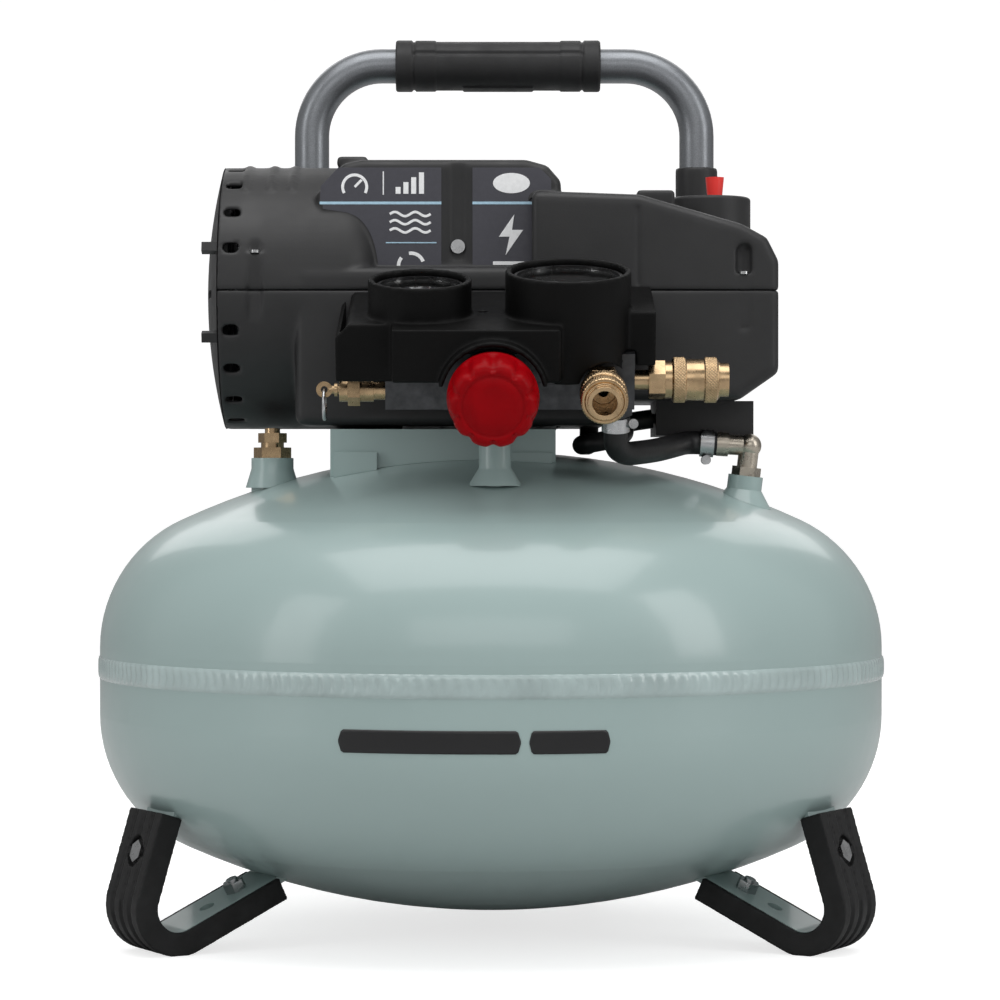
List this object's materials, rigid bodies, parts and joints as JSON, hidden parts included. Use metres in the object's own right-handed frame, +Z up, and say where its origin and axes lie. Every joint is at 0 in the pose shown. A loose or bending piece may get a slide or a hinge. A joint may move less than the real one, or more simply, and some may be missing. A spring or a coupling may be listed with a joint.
{
  "type": "pancake air compressor",
  "caption": "Portable electric air compressor on a flat round tank, with rubber feet, carry handle, covered motor pump and a front regulator console.",
  "frame": {"origin": "on the floor under the tank's vertical axis", "axes": "+Z up, -Y towards the operator's side with the regulator console, +X towards the side quick coupler"},
  "size_m": [0.4136, 0.4193, 0.4792],
  "materials": {
    "tank_paint": "gloss powder coat",
    "pad_rubber": "moulded, ribbed",
    "zinc_steel": "zinc plated",
    "brass": "machined",
    "nickel": "nickel plated",
    "hose_rubber": "smooth extruded",
    "lever_red": "moulded",
    "zinc_casting": "die cast",
    "console_plastic": "fine moulded texture",
    "knob_red": "moulded",
    "gauge_case": "satin black",
    "gauge_dial": "black face, white marks",
    "needle_paint": "orange enamel",
    "gauge_lens": "clear",
    "shroud_plastic": "fine moulded texture",
    "switch_red": "moulded",
    "handle_paint": "silver satin powder coat",
    "motor_steel": "laminated steel",
    "cast_aluminium": "as cast"
  },
  "bodies": {
    "base": {"tank_upper_shell": "tank_paint", "tank_lower_shell": "tank_paint", "tank_seam_weld": "tank_paint", "tank_bosses": "tank_paint", "pump_saddle": "tank_paint", "console_post": "tank_paint", "foot_bracket_left": "tank_paint", "foot_bracket_right": "tank_paint", "foot_bracket_rear": "tank_paint", "foot_pad_left": "pad_rubber", "foot_pad_right": "pad_rubber", "foot_pad_rear": "pad_rubber", "handle_grip": "pad_rubber", "foot_bolts": "zinc_steel", "hose_clamps": "zinc_steel", "shroud_screws": "zinc_steel", "regulator_spring": "zinc_steel", "shaft_bearings": "zinc_steel", "check_valve": "brass", "front_coupler_body": "brass", "side_coupler_body": "brass", "safety_valve_body": "brass", "drain_valve_body": "brass", "tank_elbow": "nickel", "supply_hose": "hose_rubber", "unloader_hose": "hose_rubber", "manifold": "zinc_casting", "console_cover": "console_plastic", "regulator_bonnet": "console_plastic", "tank_gauge_case": "gauge_case", "outlet_gauge_case": "gauge_case", "tank_gauge_dial": "gauge_dial", "outlet_gauge_dial": "gauge_dial", "tank_gauge_lens": "gauge_lens", "outlet_gauge_lens": "gauge_lens", "shroud_upper": "shroud_plastic", "shroud_lower": "shroud_plastic", "motor_end_cover": "shroud_plastic", "switch_housing": "shroud_plastic", "pressure_switch": "shroud_plastic", "cord_gland": "shroud_plastic", "handle_tube": "handle_paint", "motor_stator": "motor_steel", "motor_end_bracket": "cast_aluminium", "crankcase": "cast_aluminium", "cylinder": "cast_aluminium", "cylinder_head": "cast_aluminium"},
    "knob": {"regulator_knob": "knob_red"},
    "nut": {"regulator_nut": "brass"},
    "tank_needle": {"tank_gauge_needle": "needle_paint"},
    "outlet_needle": {"outlet_gauge_needle": "needle_paint"},
    "front_sleeve": {"front_coupler_sleeve": "brass"},
    "side_sleeve": {"side_coupler_sleeve": "brass"},
    "safety_stem": {"safety_valve_stem": "brass"},
    "safety_ring": {"safety_valve_ring": "zinc_steel"},
    "switch": {"switch_knob": "switch_red"},
    "drain_lever": {"drain_valve_lever": "lever_red"},
    "rotor": {"rotor_shaft": "motor_steel", "cooling_fan": "shroud_plastic"},
    "piston": {"piston_rod": "cast_aluminium"}
  },
  "joints": [
    {"name": "regulator_turn", "type": "hinge", "parent": "base", "child": "knob", "pos_m": [0.001, -0.1603, 0.27456], "axis": [0, -0.9659, -0.2588], "range_deg": [-720, 720]},
    {"name": "regulator_nut_travel", "type": "slide", "parent": "base", "child": "nut", "axis": [0, -0.9659, -0.2588], "range_m": [-0.003, 0.003], "deforming": ["regulator_spring"]},
    {"name": "tank_needle_turn", "type": "hinge", "parent": "base", "child": "tank_needle", "pos_m": [-0.035, -0.12028, 0.31841], "axis": [0, 0.2588, -0.9659], "range_deg": [0, 270]},
    {"name": "outlet_needle_turn", "type": "hinge", "parent": "base", "child": "outlet_needle", "pos_m": [0.038, -0.11939, 0.32279], "axis": [0, 0.2588, -0.9659], "range_deg": [0, 270]},
    {"name": "front_sleeve_slide", "type": "slide", "parent": "base", "child": "front_sleeve", "axis": [0, 0.9659, 0.2588], "range_m": [0, 0.005], "stiffness_N_per_m": 600, "springref_m": -0.002},
    {"name": "side_sleeve_slide", "type": "slide", "parent": "base", "child": "side_sleeve", "axis": [-1, 0, 0], "range_m": [0, 0.003], "stiffness_N_per_m": 600, "springref_m": -0.002},
    {"name": "safety_pull", "type": "slide", "parent": "base", "child": "safety_stem", "axis": [-1, 0, 0], "range_m": [0, 0.003], "stiffness_N_per_m": 400, "springref_m": -0.001},
    {"name": "ring_swing", "type": "hinge", "parent": "safety_stem", "child": "safety_ring", "pos_m": [-0.0825, -0.11019, 0.28074], "axis": [0, 1, 0], "range_deg": [-35, 80]},
    {"name": "switch_pull", "type": "slide", "parent": "base", "child": "switch", "axis": [0, 0, 1], "range_m": [0, 0.008]},
    {"name": "drain_turn", "type": "hinge", "parent": "base", "child": "drain_lever", "pos_m": [0.04898, 0.10835, 0.01483], "axis": [-0.8762, 0.4819, 0], "range_deg": [0, 90]},
    {"name": "shaft_spin", "type": "hinge", "parent": "base", "child": "rotor", "pos_m": [-0.07, 0.008, 0.332], "axis": [1, 0, 0], "continuous": true},
    {"name": "piston_travel", "type": "slide", "parent": "base", "child": "piston", "axis": [0, 0, 1], "range_m": [0, 0.014]}
  ],
  "couplings": [
    {"joint": "regulator_nut_travel", "follows": "regulator_turn", "m_per_rad": 0.0002387}
  ]
}
